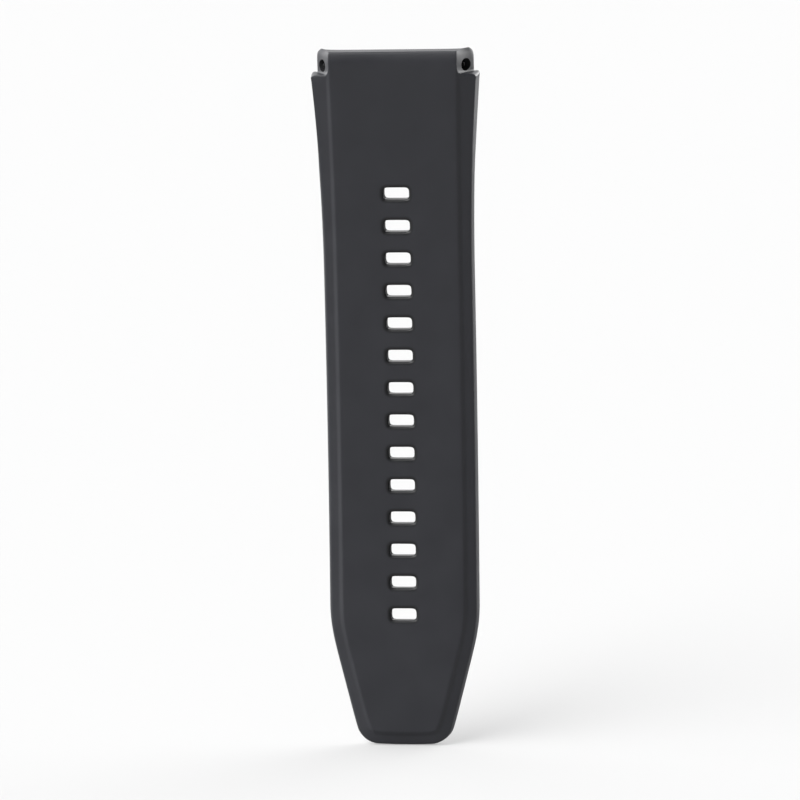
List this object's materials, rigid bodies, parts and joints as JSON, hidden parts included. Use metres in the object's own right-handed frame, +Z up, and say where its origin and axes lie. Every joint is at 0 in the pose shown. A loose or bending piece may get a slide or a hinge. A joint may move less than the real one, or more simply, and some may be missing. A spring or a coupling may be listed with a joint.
{
  "type": "rubber watch strap",
  "caption": "Slotted tail half of a moulded rubber watch strap for a lug gap, with a raised skin-side panel, tapered tip and a sprung bar in its head.",
  "frame": {"origin": "middle of the spring bar's axis, which is also the axis of the strap's bore", "axes": "+Z up along the strap from tip to head, +X across the width along the spring bar, -Y out of the skin side with the raised panel"},
  "size_m": [0.0252, 0.0062, 0.1071],
  "materials": {
    "strap_rubber": "matte moulded rubber, fine mould grain",
    "bar_steel": "fine turned stainless steel",
    "spring_wire": "drawn spring wire"
  },
  "bodies": {
    "spring_bar": {"spring_bar_tube": "bar_steel", "spring_bar_coil": "spring_wire"},
    "strap": {"strap_body": "strap_rubber"},
    "left_plunger": {"plunger_left": "bar_steel"},
    "right_plunger": {"plunger_right": "bar_steel"}
  },
  "joints": [
    {"name": "strap_swing", "type": "hinge", "parent": "spring_bar", "child": "strap", "pos_m": [0, 0, 0], "axis": [1, 0, 0], "continuous": true},
    {"name": "left_plunger_slide", "type": "slide", "parent": "spring_bar", "child": "left_plunger", "axis": [-1, 0, 0], "range_m": [0, 0.00235], "stiffness_N_per_m": 800, "springref_m": 0.0035, "deforming": ["spring_bar_coil"]},
    {"name": "right_plunger_slide", "type": "slide", "parent": "spring_bar", "child": "right_plunger", "axis": [1, 0, 0], "range_m": [0, 0.00235], "stiffness_N_per_m": 800, "springref_m": 0.0035, "deforming": ["spring_bar_coil"]}
  ]
}
